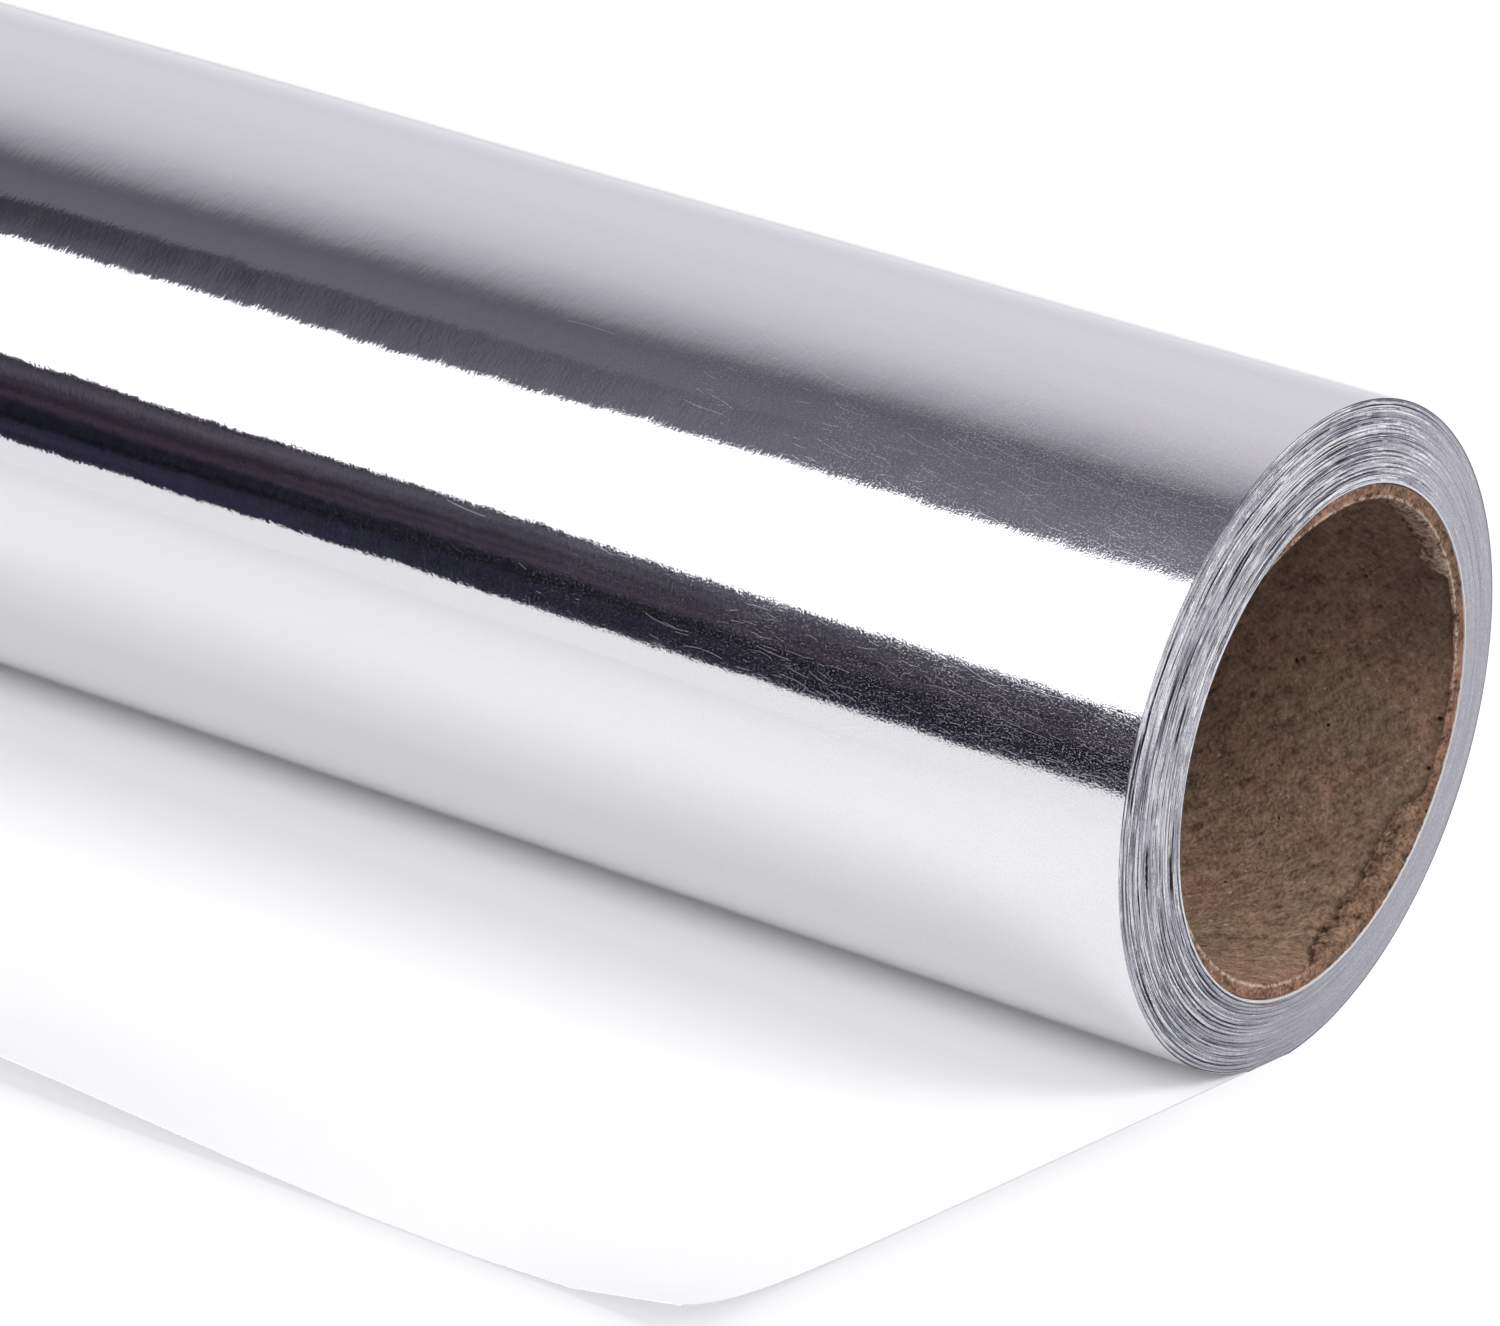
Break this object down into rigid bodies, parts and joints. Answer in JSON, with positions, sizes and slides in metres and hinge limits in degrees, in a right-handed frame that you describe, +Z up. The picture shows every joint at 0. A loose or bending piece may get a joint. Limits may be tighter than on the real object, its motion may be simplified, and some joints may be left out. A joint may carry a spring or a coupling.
{
  "type": "roll of wrapping paper",
  "caption": "Roll of mirror-silver gift wrapping paper on an open cardboard tube, lying on its side with a short lead unrolled, white back up.",
  "frame": {"origin": "on the floor under the roll's axis, halfway along the sheet's width", "axes": "+X along the roll towards its proud wound end, +Z up, and the unrolled lead runs towards -Y"},
  "size_m": [0.4333, 0.1023, 0.0518],
  "materials": {
    "silver_paper": "polished",
    "brown_card": "matte"
  },
  "bodies": {
    "root": {"wrapping_paper": "silver_paper", "cardboard_core": "brown_card"}
  },
  "joints": []
}
